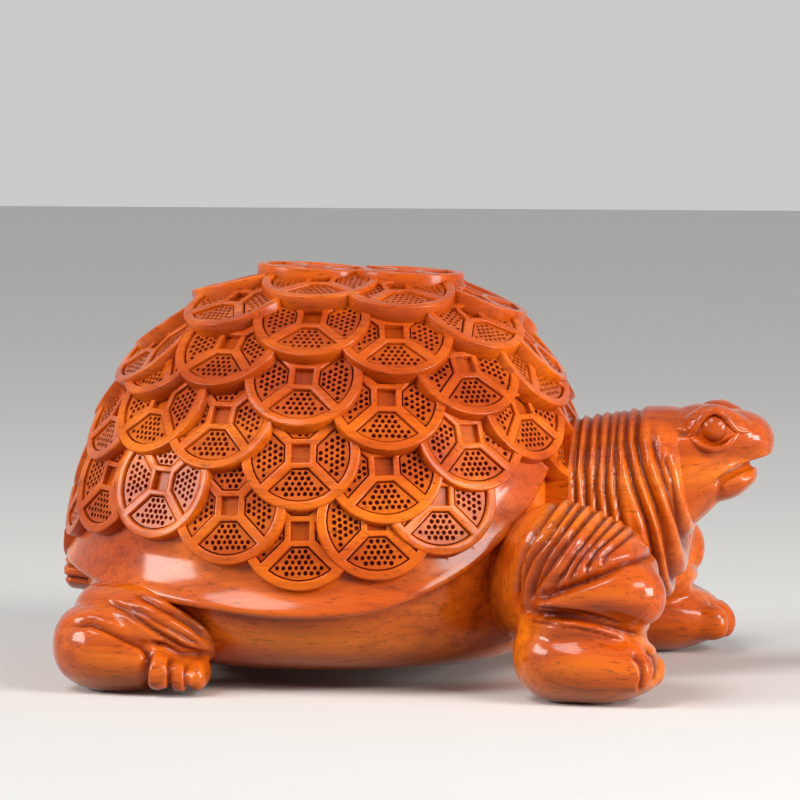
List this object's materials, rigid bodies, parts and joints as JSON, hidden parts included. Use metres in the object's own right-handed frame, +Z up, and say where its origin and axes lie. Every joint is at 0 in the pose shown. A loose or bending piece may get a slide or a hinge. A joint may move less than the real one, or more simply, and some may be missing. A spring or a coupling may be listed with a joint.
{
  "type": "turtle figurine",
  "caption": "Carved wooden turtle figurine with a domed shell of overlapping cash coins, a raised head and four folded legs.",
  "frame": {"origin": "on the surface that the turtle stands on, under the middle of its overall length and width", "axes": "+X from the tail towards the head, +Y towards the turtle's left side, +Z up"},
  "size_m": [0.2012, 0.1468, 0.1154],
  "materials": {
    "rosewood": "orange-red rosewood, polished and lacquered to a gloss"
  },
  "bodies": {
    "root": {"shell": "rosewood", "shell_rim": "rosewood", "coins_crown": "rosewood", "coins_upper_course": "rosewood", "coins_shoulder_course": "rosewood", "coins_middle_course": "rosewood", "coins_lower_course": "rosewood", "coins_foot_course": "rosewood", "belly": "rosewood", "neck": "rosewood", "head": "rosewood", "eye_right": "rosewood", "eye_left": "rosewood", "front_leg_right": "rosewood", "front_leg_left": "rosewood", "rear_leg_right": "rosewood", "rear_leg_left": "rosewood", "tail": "rosewood"}
  },
  "joints": []
}
